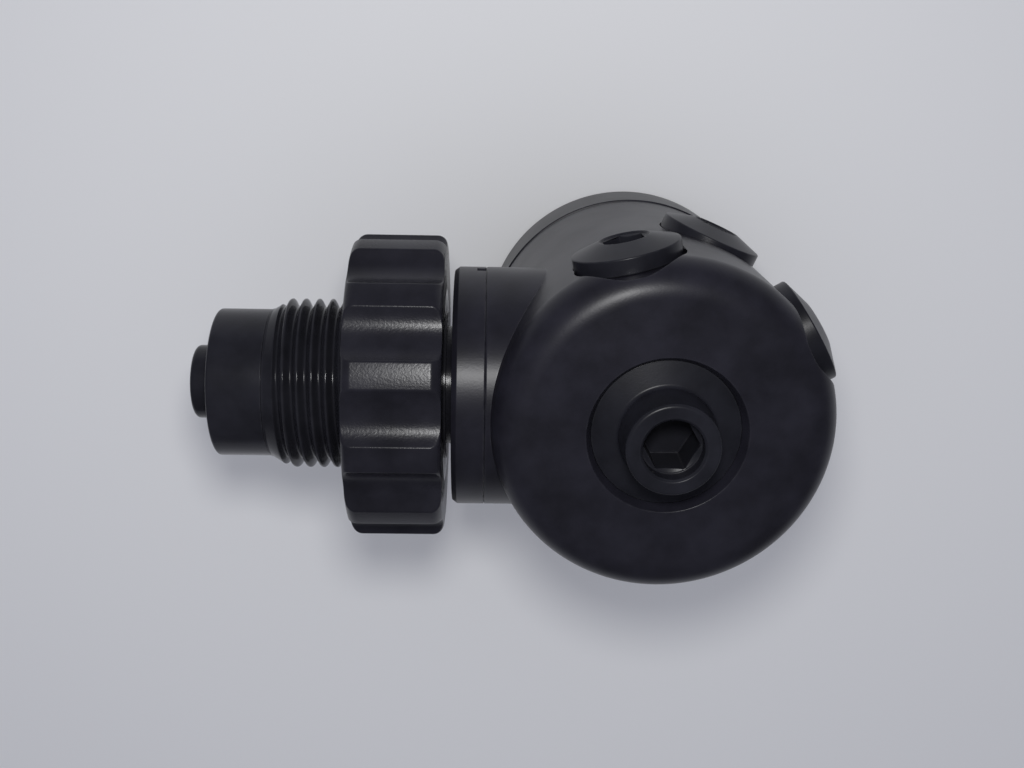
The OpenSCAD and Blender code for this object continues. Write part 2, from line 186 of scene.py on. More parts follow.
class Effects:
    """Shader groups that the finishes share, each built the first time it is asked for."""

    def __init__(self) -> None:
        """Starts with no group built."""
        self._built: dict[str, bpy.types.NodeTree] = {}

    def get(self, name: str) -> bpy.types.NodeTree:
        """Returns the group of that name, building it once.

        Args:
            name: grain, turning, handling or edge.

        Returns:
            The shader group.
        """
        if name not in self._built:
            self._built[name] = getattr(self, f"_{name}")()
        return self._built[name]

    @staticmethod
    def _grain() -> bpy.types.NodeTree:
        """Fine orange-peel grain of a coating or a moulded skin. Size is in millimetres."""
        wiring, given, made = new_group(
            "fine_grain",
            "ShaderNodeTree",
            [("Vector", Socket.VECTOR), ("Size", Socket.NUMBER)],
            [("Height", Socket.NUMBER)],
        )
        scale = wiring.math("DIVIDE", 1 / MM, given.outputs["Size"])
        fine = wiring.add(
            "ShaderNodeTexNoise",
            {"Vector": given.outputs["Vector"], "Scale": scale, "Detail": 2.0, "Roughness": 0.6},
        )
        pits = wiring.add(
            "ShaderNodeTexVoronoi",
            {"Vector": given.outputs["Vector"], "Scale": wiring.math("MULTIPLY", scale, 0.55)},
            feature="SMOOTH_F1",
        )
        height = wiring.math("MULTIPLY_ADD", pits.outputs["Distance"], 0.35, fine.outputs[0])
        wiring.tree.links.new(height, made.inputs["Height"])
        return wiring.tree

    @staticmethod
    def _turning() -> bpy.types.NodeTree:
        """Tool marks that run round a turned piece, from its "turned" attribute in millimetres."""
        wiring, given, made = new_group(
            "turning_marks",
            "ShaderNodeTree",
            [("Spacing", Socket.NUMBER)],
            [("Height", Socket.NUMBER)],
        )
        along = wiring.add("ShaderNodeAttribute", attribute_name="turned", attribute_type="GEOMETRY")
        scale = wiring.math("DIVIDE", 1.0, given.outputs["Spacing"])
        marks = wiring.add(
            "ShaderNodeTexNoise",
            {"W": along.outputs["Fac"], "Scale": scale, "Detail": 3.0, "Roughness": 0.7},
            noise_dimensions="1D",
        )
        wiring.tree.links.new(marks.outputs[0], made.inputs["Height"])
        return wiring.tree

    @staticmethod
    def _handling() -> bpy.types.NodeTree:
        """Broad uneven patches where hands have polished or dulled a surface. Size in millimetres."""
        wiring, given, made = new_group(
            "handling",
            "ShaderNodeTree",
            [("Vector", Socket.VECTOR), ("Size", Socket.NUMBER)],
            [("Mask", Socket.NUMBER)],
        )
        scale = wiring.math("DIVIDE", 1 / MM, given.outputs["Size"])
        patches = wiring.add(
            "ShaderNodeTexNoise",
            {"Vector": given.outputs["Vector"], "Scale": scale, "Detail": 4.0, "Roughness": 0.55},
        )
        ranged = wiring.add("ShaderNodeMapRange", {0: patches.outputs[0], 1: 0.32, 2: 0.68})
        wiring.tree.links.new(ranged.outputs[0], made.inputs["Mask"])
        return wiring.tree

    @staticmethod
    def _edge() -> bpy.types.NodeTree:
        """Where edges wear: 1 on convex and hollow edges, broken up by noise, and along marked thread crests,
        where the paler colour is partly real wear and partly a painted highlight.
        """
        wiring, given, made = new_group(
            "edge_wear",
            "ShaderNodeTree",
            [("Vector", Socket.VECTOR), ("Radius", Socket.NUMBER)],
            [("Mask", Socket.NUMBER)],
        )
        soft = wiring.add(
            "ShaderNodeBevel", {"Radius": wiring.math("MULTIPLY", given.outputs["Radius"], MM)}, samples=4
        )
        flat = wiring.add("ShaderNodeNewGeometry")
        likeness = wiring.add(
            "ShaderNodeVectorMath", {0: soft.outputs[0], 1: flat.outputs["Normal"]}, operation="DOT_PRODUCT"
        )
        turned = wiring.math("SUBTRACT", 1.0, likeness.outputs["Value"])
        broken = wiring.add(
            "ShaderNodeTexNoise", {"Vector": given.outputs["Vector"], "Scale": 900.0, "Detail": 3.0}
        )
        share = wiring.add("ShaderNodeMapRange", {0: broken.outputs[0], 1: 0.35, 2: 0.65})
        # a corner counts from 8 degrees of turn and counts fully from 28
        strong = wiring.add("ShaderNodeMapRange", {0: turned, 1: 0.01, 2: 0.12})
        # thread crests flagged by Solid.marked: real crest wear, and partly a painted highlight line along
        # each crest
        crest_wear_and_sheen = wiring.add("ShaderNodeAttribute", attribute_name="crest_wear_and_sheen", attribute_type="GEOMETRY")
        patchy = wiring.math("MULTIPLY", strong.outputs[0], share.outputs[0])
        crest_wear_sheen_share = wiring.math("MULTIPLY", crest_wear_and_sheen.outputs["Fac"], wiring.spread(share.outputs[0], 0.6, 1.0))
        wiring.tree.links.new(wiring.math("MAXIMUM", patchy, crest_wear_sheen_share), made.inputs["Mask"])
        return wiring.tree


EFFECTS = Effects()


# ---- finishes -------------------------------------------------------------------------------


@dataclass(frozen=True)
class Finish:
    """What a surface is made of and how it was worked.

    Attributes:
        slot: the record's material slot.
        colour: linear base colour.
        roughness: lowest and highest roughness over the handled surface.
        grain_size: size of the fine grain in millimetres.
        grain_depth: depth of the fine grain in millimetres.
        turning_spacing: spacing of tool marks in millimetres.
        turning_depth: depth of tool marks in millimetres, 0 for a surface that wasn't turned.
        edge_colour: colour that shows where edges wear; on thread crests it is partly a painted highlight.
        edge_share: how much of it shows.
        edge_metal: how metallic edges are where they wear.
        metallic: 1 for bare metal.
        specular: the shader's specular level.
        shade_spread: how far the base colour drifts over the surface.
    """

    slot: str
    colour: Colour
    roughness: tuple[float, float] = (0.36, 0.46)
    grain_size: float = 0.22
    grain_depth: float = 0.004
    turning_spacing: float = 0.12
    turning_depth: float = 0.0
    edge_colour: Colour = (0.06, 0.06, 0.065)
    edge_share: float = 0.35
    edge_metal: float = 0.0
    metallic: float = 0.0
    specular: float = 0.5
    shade_spread: float = 0.25

    def material(self) -> bpy.types.Material:
        """Returns this finish as a material, built once for each slot."""
        name = f"finish_{self.slot}"
        known = bpy.data.materials.get(name)
        if known is not None:
            return known
        material = bpy.data.materials.new(name)
        material.use_nodes = True
        material.diffuse_color = (*self.colour, 1.0)
        wiring = Wiring(material.node_tree)
        shader = material.node_tree.nodes["Principled BSDF"]
        shader.inputs["Specular IOR Level"].default_value = self.specular
        place = wiring.add("ShaderNodeTexCoord").outputs["Object"]
        handled = self._effect(wiring, "handling", {"Vector": place, "Size": 14.0}, "Mask")
        # mask of paler edges: real edge wear, and on thread crests partly a painted highlight
        rubbing_and_sheen = self._effect(wiring, "edge", {"Vector": place, "Radius": 0.35}, "Mask")
        links = wiring.tree.links
        links.new(self._colour(wiring, place, rubbing_and_sheen), shader.inputs["Base Color"])
        metal = wiring.math("MULTIPLY_ADD", rubbing_and_sheen, self.edge_metal, self.metallic)
        links.new(metal, shader.inputs["Metallic"])
        rough = wiring.spread(handled, *self.roughness)
        polished = wiring.math("MULTIPLY_ADD", rubbing_and_sheen, -0.08, rough)
        links.new(polished, shader.inputs["Roughness"])
        links.new(self._relief(wiring, place), shader.inputs["Normal"])
        return material

    @staticmethod
    def _effect(wiring: Wiring, name: str, inputs: dict[str, Any], output: str) -> bpy.types.NodeSocket:
        """Places a shared effect in a material and returns one of its outputs."""
        node = wiring.add("ShaderNodeGroup", node_tree=EFFECTS.get(name))
        for key, value in inputs.items():
            if isinstance(value, bpy.types.NodeSocket):
                wiring.tree.links.new(value, node.inputs[key])
            else:
                node.inputs[key].default_value = value
        return node.outputs[output]

    def _colour(self, wiring: Wiring, place: bpy.types.NodeSocket, rubbing_and_sheen: Any) -> bpy.types.NodeSocket:
        """Base colour that drifts a little and pales along wearing edges; on thread crests the paling is
        partly a painted highlight.
        """
        drift = self._effect(wiring, "handling", {"Vector": place, "Size": 5.0}, "Mask")
        darker = tuple(c * (1 - self.shade_spread) for c in self.colour)
        paler = tuple(c * (1 + self.shade_spread) for c in self.colour)
        body = wiring.mix(drift, darker, paler)
        return wiring.mix(wiring.math("MULTIPLY", rubbing_and_sheen, self.edge_share), body, self.edge_colour)

    def _relief(self, wiring: Wiring, place: bpy.types.NodeSocket) -> bpy.types.NodeSocket:
        """Grain and tool marks as one bump."""
        grain = self._effect(wiring, "grain", {"Vector": place, "Size": self.grain_size}, "Height")
        height = wiring.math("MULTIPLY", grain, self.grain_depth * MM)
        if self.turning_depth > 0:
            marks = self._effect(wiring, "turning", {"Spacing": self.turning_spacing}, "Height")
            height = wiring.math("MULTIPLY_ADD", marks, self.turning_depth * MM, height)
        bump = wiring.add("ShaderNodeBump", {"Height": height, "Distance": 1.0, "Strength": 1.0})
        return bump.outputs[0]


BARREL_BLACK = Finish(
    "barrel_black", (0.0130, 0.0126, 0.0180), (0.31, 0.37), 0.26, 0.0070, specular=0.25
)
CONNECTOR_BLACK = Finish(
    "connector_black", (0.0132, 0.0132, 0.0172), (0.21, 0.27), 0.20, 0.0060,
    turning_depth=0.003, specular=0.20
)
PLUG_BLACK = Finish(
    "plug_black", (0.0118, 0.0120, 0.0160), (0.30, 0.37), 0.22, 0.0050,
    turning_depth=0.002, specular=0.20
)
# paler crests on this finish: partly real crest wear, partly a painted highlight along the crests
THREAD_BLACK = Finish(
    "thread_black", (0.0140, 0.0140, 0.0175), (0.15, 0.20), 0.15, 0.001,
    edge_colour=(0.10, 0.10, 0.11), edge_share=0.06, edge_metal=0.1, specular=0.12
)
WHEEL_BLACK = Finish(
    "wheel_black", (0.0136, 0.0133, 0.0178), (0.22, 0.29), 0.25, 0.0150, edge_share=0.10, specular=0.18
)
SEAL_RUBBER = Finish(
    "seal_rubber", (0.010, 0.010, 0.010), (0.42, 0.6), 0.12, 0.002, edge_share=0.0, specular=0.4
)
BARE_BRASS = Finish(
    "bare_brass", (0.66, 0.47, 0.20), (0.22, 0.34), 0.2, 0.001, turning_depth=0.003,
    edge_colour=(0.8, 0.62, 0.32), metallic=1.0, shade_spread=0.12
)
SEAT_PLASTIC = Finish(
    "seat_plastic", (0.72, 0.72, 0.68), (0.35, 0.5), 0.2, 0.002, edge_share=0.0, shade_spread=0.04
)
SPRING_STEEL = Finish(
    "spring_steel", (0.45, 0.45, 0.46), (0.24, 0.36), 0.1, 0.001,
    edge_colour=(0.6, 0.6, 0.6), metallic=1.0, shade_spread=0.12
)
SINTERED_BRONZE = Finish(
    "sintered_bronze", (0.40, 0.27, 0.13), (0.45, 0.6), 0.16, 0.05, edge_share=0.0,
    metallic=1.0, shade_spread=0.3
)
FINISHES = {
    finish.slot: finish
    for finish in (
        BARREL_BLACK, CONNECTOR_BLACK, PLUG_BLACK, THREAD_BLACK, WHEEL_BLACK,
        SEAL_RUBBER, BARE_BRASS, SEAT_PLASTIC, SPRING_STEEL, SINTERED_BRONZE,
    )
}


# ---- solids ---------------------------------------------------------------------------------


def rounded(corners: Sequence[Corner], closed: bool, steps: int) -> list[tuple[float, float]]:
    """Turns an outline's corners into points, with arcs where a corner has a radius.

    Args:
        corners: (radius, height) or (radius, height, rounding) of each corner.
        closed: whether the last corner joins the first.
        steps: straight steps in each arc.

    Returns:
        The outline's (radius, height) points.
    """
    points: list[tuple[float, float]] = []
    count = len(corners)
    for i, corner in enumerate(corners):
        here = Vector(corner[:2])
        rounding = corner[2] if len(corner) > 2 else 0.0
        if rounding <= 0 or (not closed and i in (0, count - 1)):
            points.append((here.x, here.y))
            continue
        before = Vector(corners[i - 1][:2]) - here
        after = Vector(corners[(i + 1) % count][:2]) - here
        half = before.angle(after) / 2
        reach = min(rounding / math.tan(half), 0.49 * before.length, 0.49 * after.length)
        radius = reach * math.tan(half)
        centre = here + (before.normalized() + after.normalized()).normalized() * radius / math.sin(half)
        start = here + before.normalized() * reach - centre
        end = here + after.normalized() * reach - centre
        sweep = math.atan2(start.x * end.y - start.y * end.x, start.dot(end))
        for k in range(steps + 1):
            turn = Matrix.Rotation(sweep * k / steps, 2)
            spot = centre + turn @ start
            points.append((spot.x, spot.y))
    return points


def even_angles(count: int) -> list[float]:
    """Angles that share a full turn evenly."""
    return [FULL_TURN * k / count for k in range(count)]


class Solid:
    """A closed mesh in millimetres that is cut and joined before it becomes a piece."""

    def __init__(self, mesh: bpy.types.Mesh) -> None:
        """Holds mesh, which this solid then owns."""
        self.mesh = mesh

    @classmethod
    def turned(
        cls,
        corners: Sequence[Corner],
        closed: bool = False,
        steps: int = 4,
        angles: Optional[Sequence[float]] = None,
    ) -> "Solid":
        """Turns an outline about the Z axis.

        Args:
            corners: the outline, which starts and ends on the axis unless it is closed.
            closed: whether the outline is a loop clear of the axis.
            steps: straight steps in each rounding.
            angles: where the turned rows stand, evenly round if left out.

        Returns:
            The turned solid.
        """
        rows = list(angles) if angles is not None else even_angles(192)
        points = rounded(corners, closed, steps)
        shape = bmesh.new()
        rings = []
        for radius, height in points:
            if radius < 1e-6:
                rings.append([shape.verts.new((0, 0, height))])
                continue
            rings.append(
                [shape.verts.new((radius * math.cos(a), radius * math.sin(a), height)) for a in rows]
            )
        pairs = list(zip(rings, rings[1:])) + ([(rings[-1], rings[0])] if closed else [])
        for low, high in pairs:
            for k in range(len(rows)):
                n = (k + 1) % len(rows)
                if len(low) == 1:
                    shape.faces.new((low[0], high[n], high[k]))
                elif len(high) == 1:
                    shape.faces.new((low[k], low[n], high[0]))
                else:
                    shape.faces.new((low[k], low[n], high[n], high[k]))
        bmesh.ops.recalc_face_normals(shape, faces=shape.faces)
        mesh = bpy.data.meshes.new("turned")
        shape.to_mesh(mesh)
        shape.free()
        return cls(mesh)

    @classmethod
    def rod(cls, radius: float, low: float, high: float, sides: int = 96) -> "Solid":
        """A round rod along Z, used to cut or to join."""
        return cls.turned([(0, low), (radius, low), (radius, high), (0, high)], angles=even_angles(sides))

    @classmethod
    def hexagon(cls, across: float, low: float, high: float) -> "Solid":
        """A hexagonal rod along Z, sized across its flats."""
        return cls.rod(across / 2 / math.cos(math.pi / 6), low, high, sides=6)

    @classmethod
    def block(cls, low: Sequence[float], high: Sequence[float]) -> "Solid":
        """A block between two corners."""
        shape = bmesh.new()
        bmesh.ops.create_cube(shape, size=1.0)
        for vert in shape.verts:
            vert.co = Vector(lo if c < 0 else hi for c, lo, hi in zip(vert.co, low, high))
        mesh = bpy.data.meshes.new("block")
        shape.to_mesh(mesh)
        shape.free()
        return cls(mesh)

    def placed(self, matrix: Matrix) -> "Solid":
        """Moves the solid and returns it."""
        self.mesh.transform(matrix)
        return self

    def _through(self, change: Callable[[bpy.types.Object], None]) -> "Solid":
        """Runs modifiers on the mesh and keeps their result.

        Args:
            change: adds the modifiers to the object it is given.

        Returns:
            This solid, with the new mesh.
        """
        holder = bpy.data.objects.new("holder", self.mesh)
        bpy.context.scene.collection.objects.link(holder)
        change(holder)
        graph = bpy.context.evaluated_depsgraph_get()
        result = bpy.data.meshes.new_from_object(
            holder.evaluated_get(graph), preserve_all_data_layers=True, depsgraph=graph
        )
        bpy.data.objects.remove(holder)
        bpy.data.meshes.remove(self.mesh)
        self.mesh = result
        return self

    def _combined(self, other: "Solid", operation: str) -> "Solid":
        """Joins another solid to this one or cuts it away, and uses the other one up."""
        tool = bpy.data.objects.new("tool", other.mesh)
        bpy.context.scene.collection.objects.link(tool)

        def change(holder: bpy.types.Object) -> None:
            modifier = holder.modifiers.new("combine", "BOOLEAN")
            modifier.operation = operation
            modifier.solver = "MANIFOLD"
            modifier.object = tool

        self._through(change)
        bpy.data.objects.remove(tool)
        bpy.data.meshes.remove(other.mesh)
        return self

    def cut(self, *others: "Solid") -> "Solid":
        """Cuts other solids away."""
        for other in others:
            self._combined(other, "DIFFERENCE")
        return self

    def joined(self, *others: "Solid") -> "Solid":
        """Joins other solids to this one."""
        for other in others:
            self._combined(other, "UNION")
        return self

    def welded(self, reach: float = 0.02) -> "Solid":
        """Joins points that lie closer together than reach and drops what that leaves flat."""
        shape = bmesh.new()
        shape.from_mesh(self.mesh)
        bmesh.ops.remove_doubles(shape, verts=shape.verts, dist=reach)
        bmesh.ops.dissolve_degenerate(shape, edges=shape.edges, dist=reach / 4)
        shape.to_mesh(self.mesh)
        shape.free()
        return self

    def edge_broken(self, width: float, least_angle: float = 18.0, segments: int = 3) -> "Solid":
        """Rounds every edge that turns by more than an angle.

        Args:
            width: width of the rounding on each side of the edge.
            least_angle: edges that turn less, in degrees, are left.
            segments: faces across the rounding.

        Returns:
            This solid.
        """

        def change(holder: bpy.types.Object) -> None:
            bevel = holder.modifiers.new("edges", "BEVEL")
            bevel.width = width
            bevel.segments = segments
            bevel.limit_method = "ANGLE"
            bevel.angle_limit = math.radians(least_angle)
            bevel.use_clamp_overlap = False

        return self.welded()._through(change)

    def marked(self, crest: Optional[float] = None) -> "Solid":
        """Stores what the finishes read about a turned solid that still lies along Z.

        Args:
            crest: radius at which a thread's crests are paled, if it has any; the paling is partly real wear
                and partly a painted highlight.

        Returns:
            This solid, with how far along its outline each point lies, and how strongly its crests are paled
            for wear and painted highlight.
        """
        along = self.mesh.attributes.new("turned", "FLOAT", "POINT")
        crest_wear_and_sheen = self.mesh.attributes.new("crest_wear_and_sheen", "FLOAT", "POINT")
        for vert, value, wear in zip(self.mesh.vertices, along.data, crest_wear_and_sheen.data):
            radius = math.hypot(vert.co.x, vert.co.y)
            value.value = radius + vert.co.z
            wear.value = 0.0 if crest is None else min(max(1 - (crest - radius) / 0.07, 0.0), 1.0)
        return self

    def shaded(self, drums: Sequence["Drum"] = ()) -> "Solid":
        """Smooths the shading: flats stay flat, turned walls stay true, corners stay sharp.

        Args:
            drums: turned surfaces that parts of the solid's skin still follow.

        Returns:
            This solid.
        """
        for polygon in self.mesh.polygons:
            polygon.use_smooth = True
        self.mesh.set_sharp_from_angle(angle=SOFT_ANGLE)

        def change(holder: bpy.types.Object) -> None:
            weighted = holder.modifiers.new("shading", "WEIGHTED_NORMAL")
            weighted.mode = "FACE_AREA"
            weighted.keep_sharp = True

        self._through(change)
        self._trued(drums)
        return self

    def _trued(self, drums: Sequence["Drum"]) -> None:
        """Gives flats and turned walls their exact normals, and ties roundings to them."""
        flat = self._flat_faces()
        mesh = self.mesh
        normals = [corner.vector.copy() for corner in mesh.corner_normals]
        known: dict[int, list[Vector]] = {}
        loose = []
        for polygon in mesh.polygons:
            for loop in polygon.loop_indices:
                vert = mesh.loops[loop].vertex_index
                true = polygon.normal.copy() if polygon.index in flat else None
                if true is None:
                    true = nearest_normal(drums, mesh.vertices[vert].co, polygon.normal)
                if true is None:
                    loose.append((loop, vert, polygon.index))
                    continue
                normals[loop] = true
                known.setdefault(vert, []).append(true)
        for loop, vert, face in loose:
            facing = mesh.polygons[face].normal
            best = max(known.get(vert, []), key=facing.dot, default=None)
            if best is not None and facing.dot(best) > 0.6:
                normals[loop] = best
        mesh.normals_split_custom_set(normals)

    def _flat_faces(self) -> set[int]:
        """Faces that are flats and not strips of a curved wall."""
        shape = bmesh.new()
        shape.from_mesh(self.mesh)
        flat = set()
        for face in shape.faces:
            bends = [edge.calc_face_angle(0.0) for edge in face.edges if len(edge.link_faces) == 2]
            strip = any(0.002 < bend < 0.2 for bend in bends)
            if not strip and face.calc_area() > 0.3:
                flat.add(face.index)
        shape.free()
        return flat


@dataclass(frozen=True)
class Drum:
    """A turned surface with a wall, a flat end and a rounding between them.

    Attributes:
        place: placement whose Z is the axis.
        radius: radius of the wall.
        end: height of the flat end.
        edge: rounding between them.
        below: the wall counts from this height up.
    """

    place: Matrix
    radius: float
    end: float
    edge: float = 0.0
    below: float = -1000.0

    def normal(self, point: Vector) -> Optional[Vector]:
        """Returns the outward normal where point lies on this surface, or None.

        Args:
            point: a point in the solid's own frame.

        Returns:
            The normal in the solid's own frame.
        """
        local = self.place.inverted() @ point
        across = math.hypot(local.x, local.y)
        if across < 1e-6 or local.z < self.below or across > self.radius + 0.02 or local.z > self.end + 0.02:
            return None
        rim, rise = across - (self.radius - self.edge), local.z - (self.end - self.edge)
        if abs(across - self.radius) < 0.02 and rise <= 0.02:
            share, lift = 1.0, 0.0
        elif abs(local.z - self.end) < 0.01 and rim <= 0.02:
            share, lift = 0.0, 1.0
        elif rim > 0 and rise > 0 and abs(math.hypot(rim, rise) - self.edge) < 0.03:
            share, lift = rim / math.hypot(rim, rise), rise / math.hypot(rim, rise)
        else:
            return None
        outward = Vector((local.x / across * share, local.y / across * share, lift))
        return self.place.to_3x3() @ outward


def nearest_normal(drums: Sequence[Drum], point: Vector, facing: Vector) -> Optional[Vector]:
    """Returns the true normal at point of the first drum that faces the same way."""
    for drum in drums:
        normal = drum.normal(point)
        if normal is not None and normal.dot(facing) > 0.985:
            return normal
    return None


def along_connector(height: float) -> Matrix:
    """Placement whose Z runs from the barrel axis out through the connector, and whose X is up."""
    return Matrix(((0, 0, -1, 0), (0, 1, 0, 0), (1, 0, 0, height), (0, 0, 0, 1)))


def at_port(angle: float, height: float) -> Matrix:
    """Placement whose Z runs outward along a port at an angle, in degrees, and a height."""
    outward = Matrix(((0, 0, 1, 0), (0, 1, 0, 0), (-1, 0, 0, height), (0, 0, 0, 1)))
    return Matrix.Rotation(math.radians(angle), 4, "Z") @ outward


@dataclass(frozen=True)
class Stretch:
    """How a spring's far end follows a second body.

    Attributes:
        body: the body at the far end.
        low: height at which the near body lets go, in millimetres.
        high: height from which the far body holds it, in millimetres.
    """

    body: str
    low: float
    high: float


class Workshop:
    """Turns solids into pieces of the object and dresses the nodes that stay as they are."""

    def __init__(self, nodes: dict[str, bpy.types.Object], record: dict[str, Any]) -> None:
        """Works on the loaded frame.

        Args:
            nodes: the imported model's nodes by name.
            record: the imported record.
        """
        self.nodes = nodes
        self.slots = {part["node"]: part["material_slot"] for part in record["subparts"]}
        self.replaced: set[str] = set()

    def piece(
        self, name: str, solid: Solid, finish: Finish, body: str, stands_for: Iterable[str],
        stretch: Optional[Stretch] = None,
    ) -> bpy.types.Object:
        """Makes a piece from a solid in millimetres.

        Args:
            name: the piece's name.
            solid: its shape, used up.
            finish: its surface.
            body: the body that it moves with.
            stands_for: the nodes that it replaces.
            stretch: given for a spring whose far end belongs to a second body; such a piece is baked in place
                and left unparented, and the stretch's fields are not read.

        Returns:
            The piece, at the origin.
        """
        mesh = solid.mesh
        mesh.transform(Matrix.Scale(MM, 4))
        mesh.name = name
        mesh.materials.clear()
        mesh.materials.append(finish.material())
        thing = bpy.data.objects.new(name, mesh)
        bpy.context.scene.collection.objects.link(thing)
        if stretch is None:
            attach(thing, body)
        else:
            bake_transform(thing)
        stood_for = list(stands_for)
        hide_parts(*stood_for)
        self.replaced.update(stood_for)
        self._report(thing, stood_for)
        return thing

    @staticmethod
    def _report(thing: bpy.types.Object, stood_for: Sequence[str]) -> None:
        """Logs a piece and how far it departs from the boxes of the nodes that it stands for."""
        boxes = [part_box(node) for node in stood_for]
        low = [min(box[0][i] for box in boxes) for i in range(3)]
        high = [max(box[1][i] for box in boxes) for i in range(3)]
        points = [vert.co for vert in thing.data.vertices]
        under = [(low[i] - min(p[i] for p in points)) / MM for i in range(3)]
        over = [(max(p[i] for p in points) - high[i]) / MM for i in range(3)]
        LOG.info(
            "%s: %d faces, past its nodes by %.2f mm at most, short by %.2f mm at most",
            thing.name, len(thing.data.polygons), max(under + over), -min(under + over),
        )

    def dress(self) -> None:
        """Gives every node that still shows the material of its slot."""
        for name, node in self.nodes.items():
            if name in self.replaced:
                continue
            node.data.materials.clear()
            node.data.materials.append(FINISHES[self.slots[name]].material())
            LOG.info("%s: dressed as %s", name, self.slots[name])


# ---- rules for shapes that repeat or follow a rule ------------------------------------------


class Rule:
    """A geometry tree with named inputs that is run on a mesh and baked."""

    def __init__(self, tree: bpy.types.NodeTree) -> None:
        """Holds the finished tree."""
        self.tree = tree

    def run(self, base: Optional[bpy.types.Mesh] = None, **values: Any) -> Solid:
        """Runs the rule.

        Args:
            base: the mesh that the rule works on, if it takes one.
            **values: the tree's inputs by name, with underscores for spaces.

        Returns:
            The result as a solid in millimetres.
        """
        solid = Solid(base or bpy.data.meshes.new("base"))

        def change(holder: bpy.types.Object) -> None:
            modifier = holder.modifiers.new("rule", "NODES")
            modifier.node_group = self.tree
            for item in self.tree.interface.items_tree:
                key = item.name.replace(" ", "_").lower()
                if item.in_out == "INPUT" and key in values:
                    modifier[item.identifier] = values[key]

        return solid._through(change)


def finish_tree(
    wiring: Wiring, shape: bpy.types.NodeSocket, given: bpy.types.Node, made: bpy.types.Node
) -> None:
    """Ends a geometry tree in Realize Instances and Set Material.

    Args:
        wiring: the tree's wiring.
        shape: the geometry made so far.
        given: the tree's input node.
        made: the tree's output node.
    """
    real = wiring.add("GeometryNodeRealizeInstances", {"Geometry": shape})
    painted = wiring.add(
        "GeometryNodeSetMaterial", {"Geometry": real.outputs[0], "Material": given.outputs["Material"]}
    )
    wiring.tree.links.new(painted.outputs[0], made.inputs["Geometry"])


def fluting_rule() -> Rule:
    """Pushes a turned rim inwards along evenly spaced round flutes with soft edges."""
    numbers = ["Flutes", "Flute Centre", "Flute Radius", "First Land", "Crease"]
    wiring, given, made = new_group(
        "fluting",
        "GeometryNodeTree",
        [
            ("Geometry", Socket.GEOMETRY),
            *((name, Socket.NUMBER) for name in numbers),
            ("Material", Socket.MATERIAL),
        ],
        [("Geometry", Socket.GEOMETRY)],
    )
    value = given.outputs
    place = wiring.add("GeometryNodeInputPosition").outputs[0]
    axes = wiring.add("ShaderNodeSeparateXYZ", {0: place}).outputs
    squared_y = wiring.math("MULTIPLY", axes[1], axes[1])
    radius = wiring.math("SQRT", wiring.math("MULTIPLY_ADD", axes[0], axes[0], squared_y))
    angle = wiring.math("ARCTAN2", axes[1], axes[0])
    half = wiring.math("DIVIDE", math.pi, value["Flutes"])
    from_land = wiring.math("SUBTRACT", angle, value["First Land"])
    from_flute = wiring.math("SUBTRACT", from_land, half)
    offset = wiring.math("WRAP", from_flute, half, wiring.math("MULTIPLY", half, -1.0))
    across = wiring.math("MULTIPLY", wiring.math("SINE", offset), value["Flute Centre"])
    reach = wiring.math("MULTIPLY", wiring.math("COSINE", offset), value["Flute Centre"])
    squared = wiring.math("MULTIPLY", value["Flute Radius"], value["Flute Radius"])
    rest = wiring.math("SUBTRACT", squared, wiring.math("MULTIPLY", across, across))
    left = wiring.math("MAXIMUM", rest, 0.0)
    cut = wiring.math("SUBTRACT", reach, wiring.math("SQRT", left))
    kept = wiring.math("SMOOTH_MIN", radius, cut, value["Crease"])
    share = wiring.math("DIVIDE", kept, radius)
    moved = wiring.add(
        "ShaderNodeCombineXYZ",
        {0: wiring.math("MULTIPLY", axes[0], share), 1: wiring.math("MULTIPLY", axes[1], share), 2: axes[2]},
    )
    shape = wiring.add(
        "GeometryNodeSetPosition", {"Geometry": value["Geometry"], "Position": moved.outputs[0]}
    )
    finish_tree(wiring, shape.outputs[0], given, made)
    return Rule(wiring.tree)


